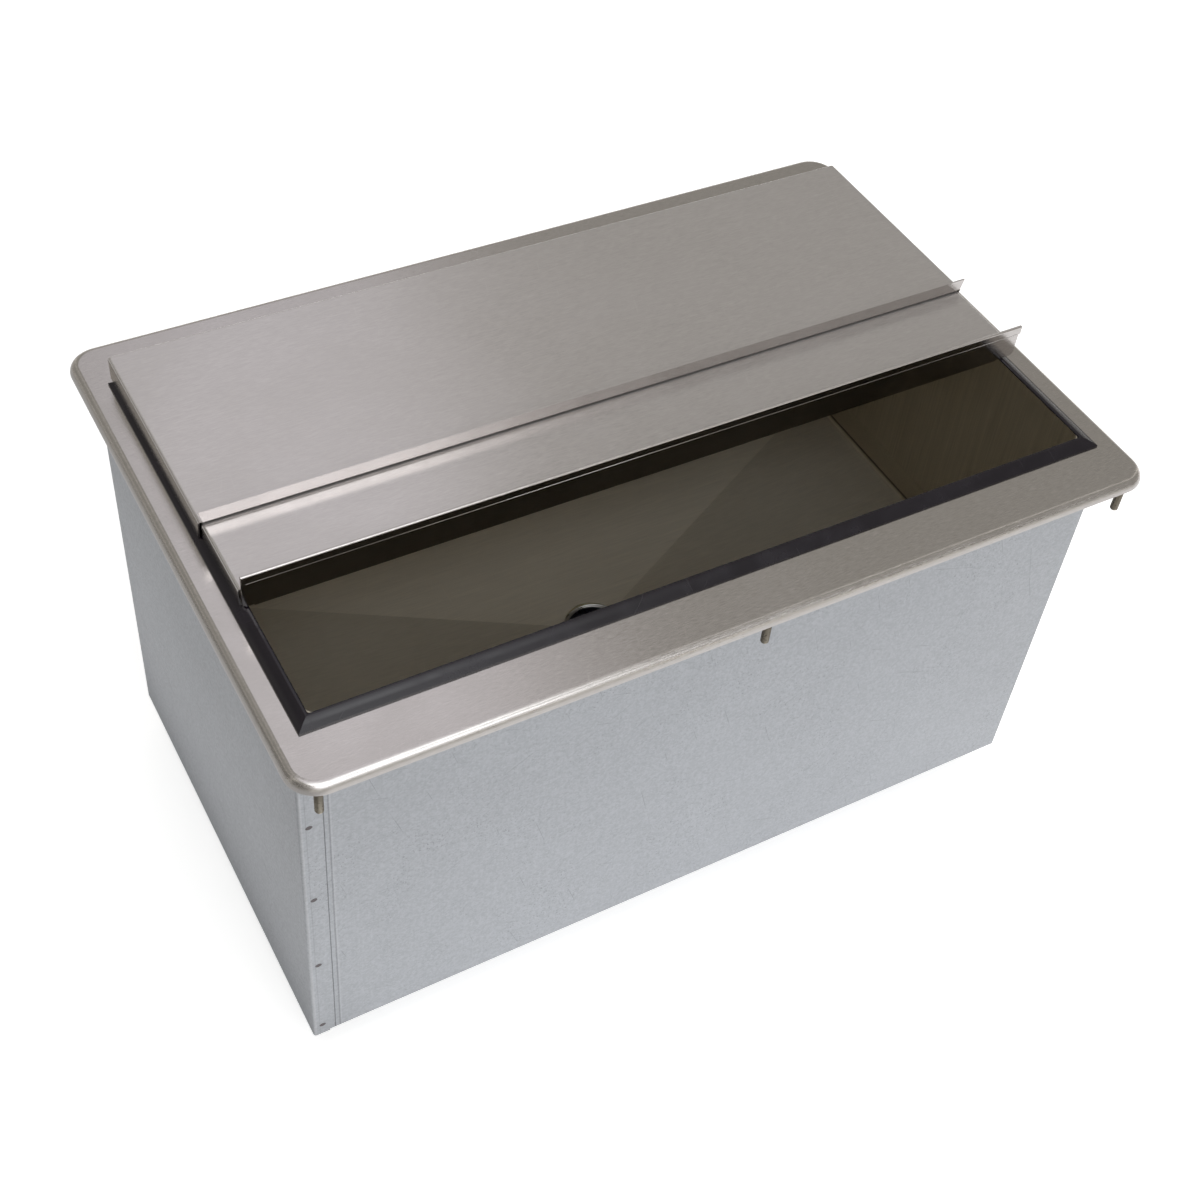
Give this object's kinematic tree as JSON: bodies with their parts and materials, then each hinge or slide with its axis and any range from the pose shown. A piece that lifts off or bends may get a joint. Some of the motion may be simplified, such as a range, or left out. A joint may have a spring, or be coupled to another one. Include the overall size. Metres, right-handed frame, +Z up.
{
  "type": "drop-in ice bin",
  "caption": "Insulated stainless drop-in ice bin with a rolled-edge rim, pitched drained well, black breaker strips and two sliding sheet lids.",
  "frame": {"origin": "centre of the hold-down stud pattern and of the rim outline, on the counter plane that the rolled edge rests on", "axes": "+X to the right along the long side, +Y to the rear, +Z up"},
  "size_m": [0.7112, 0.47, 0.4511],
  "materials": {
    "deck_steel": "brushed",
    "lid_steel": "brushed",
    "well_steel": "mill finish",
    "galvanised": "galvanised",
    "strip_black": "satin",
    "drain_steel": "turned",
    "stud_steel": "zinc plated",
    "grommet_rubber": "matte",
    "foam": "rigid foam"
  },
  "bodies": {
    "cabinet": {"top_rim": "deck_steel", "hold_down_studs": "stud_steel", "breaker_strip_front": "strip_black", "breaker_strip_rear": "strip_black", "breaker_strip_left": "strip_black", "breaker_strip_right": "strip_black", "liner_wall_wrap": "well_steel", "liner_floor_pan": "well_steel", "drain_coupling": "drain_steel", "drain_tailpipe": "drain_steel", "drain_grommet": "grommet_rubber", "shell_front_right": "galvanised", "shell_rear_left": "galvanised", "shell_bottom": "galvanised", "foam_front": "foam", "foam_rear": "foam", "foam_left": "foam", "foam_right": "foam", "foam_bottom": "foam"},
    "rear_lid": {"rear_lid_pan": "lid_steel"},
    "front_lid": {"front_lid_pan": "lid_steel", "front_lid_handle_plate": "lid_steel"}
  },
  "joints": [
    {"name": "rear_lid_slide", "type": "slide", "parent": "cabinet", "child": "rear_lid", "axis": [0, 1, 0], "range_m": [-0.034, 0]},
    {"name": "front_lid_slide", "type": "slide", "parent": "cabinet", "child": "front_lid", "axis": [0, 1, 0], "range_m": [-0.1023, 0.035]}
  ]
}
